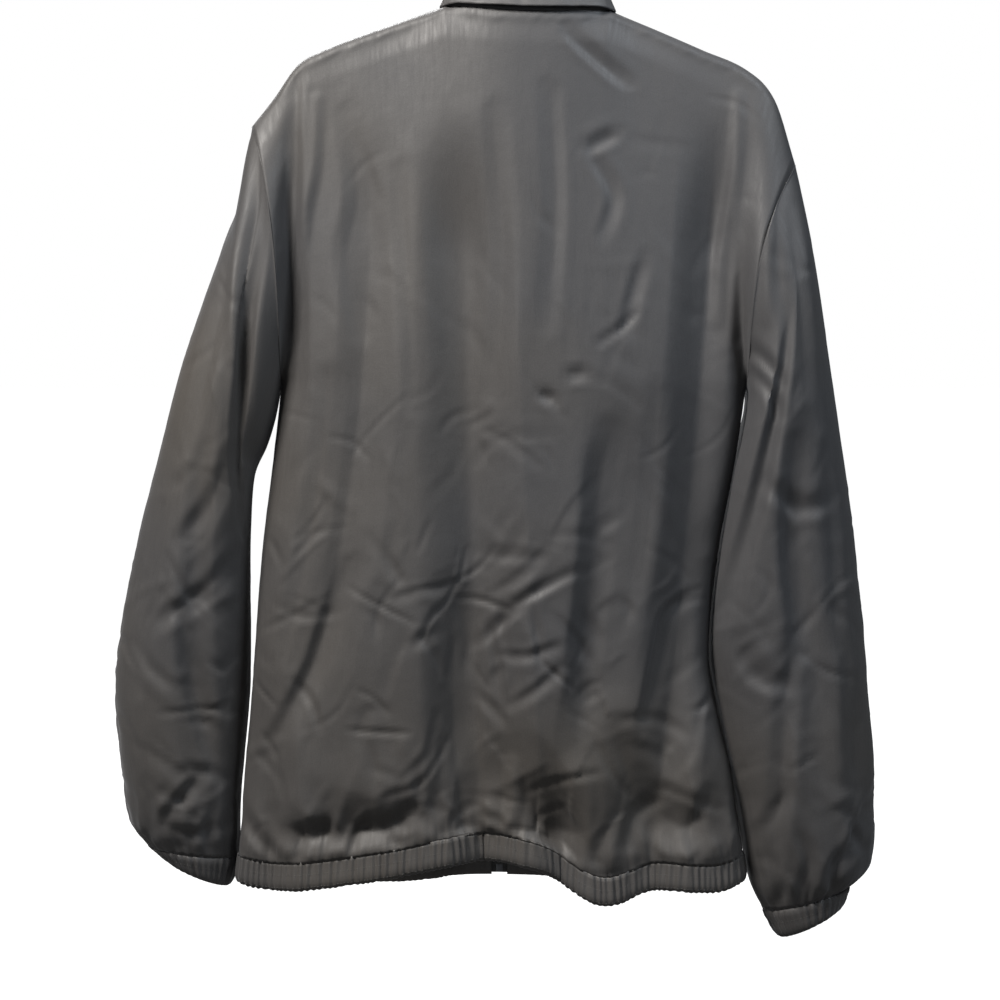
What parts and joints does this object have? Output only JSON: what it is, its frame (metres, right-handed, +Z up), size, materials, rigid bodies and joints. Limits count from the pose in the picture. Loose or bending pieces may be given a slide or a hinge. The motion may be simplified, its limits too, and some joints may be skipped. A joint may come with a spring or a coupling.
{
  "type": "windbreaker on a hanger",
  "caption": "Nylon windbreaker with a turned-down collar, a front zip and elastic hem and cuffs, hanging on a plain moulded hanger.",
  "frame": {"origin": "the inside of the hook's crown, where a rail holds the hanger", "axes": "+Z up; the garment's front faces -Y and its back +Y, so the picture looks along -Y; the wearer's left is +X"},
  "size_m": [0.6741, 0.1345, 0.9128],
  "materials": {
    "shell": "plain woven nylon with a slight sheen",
    "zip_tape": "woven tape",
    "zip_metal": "dark, slightly worn",
    "hanger_plastic": "moulded, satin"
  },
  "bodies": {
    "garment": {"back": "shell", "front_left": "shell", "front_right": "shell", "sleeve_left": "shell", "sleeve_right": "shell", "cuff_left": "shell", "cuff_right": "shell", "hem_band": "shell", "collar": "shell", "zip_tape_left": "zip_tape", "zip_tape_right": "zip_tape", "zip_chain": "zip_metal", "zip_box": "zip_metal", "zip_slider": "zip_metal", "hanger": "hanger_plastic"},
    "pull": {"zip_pull": "zip_metal"}
  },
  "joints": [
    {"name": "zip_pull_hinge", "type": "hinge", "parent": "garment", "child": "pull", "pos_m": [0.00142, -0.04945, -0.17757], "axis": [-1, 0, 0], "range_deg": [0, 150]}
  ]
}
